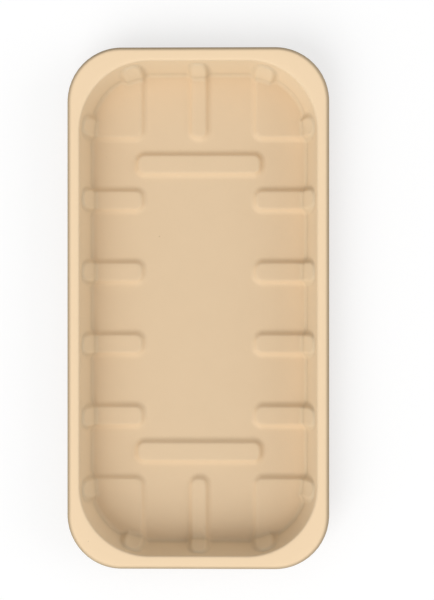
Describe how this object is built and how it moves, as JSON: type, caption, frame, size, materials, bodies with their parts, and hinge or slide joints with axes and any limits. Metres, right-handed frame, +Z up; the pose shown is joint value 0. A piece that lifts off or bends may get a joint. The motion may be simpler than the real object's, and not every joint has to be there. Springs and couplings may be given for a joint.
{
  "type": "moulded fibre meat tray",
  "caption": "Shallow oblong moulded pulp tray with rounded corners, a flat rim, drafted walls and raised ribs and corner pads.",
  "frame": {"origin": "middle of the floor's underside, on the surface that the tray stands on", "axes": "+X across the tray, +Y along it, +Z up out of the opening"},
  "size_m": [0.1354, 0.27, 0.022],
  "materials": {
    "pulp": "matte unbleached moulded fibre"
  },
  "bodies": {
    "root": {"tray": "pulp"}
  },
  "joints": []
}
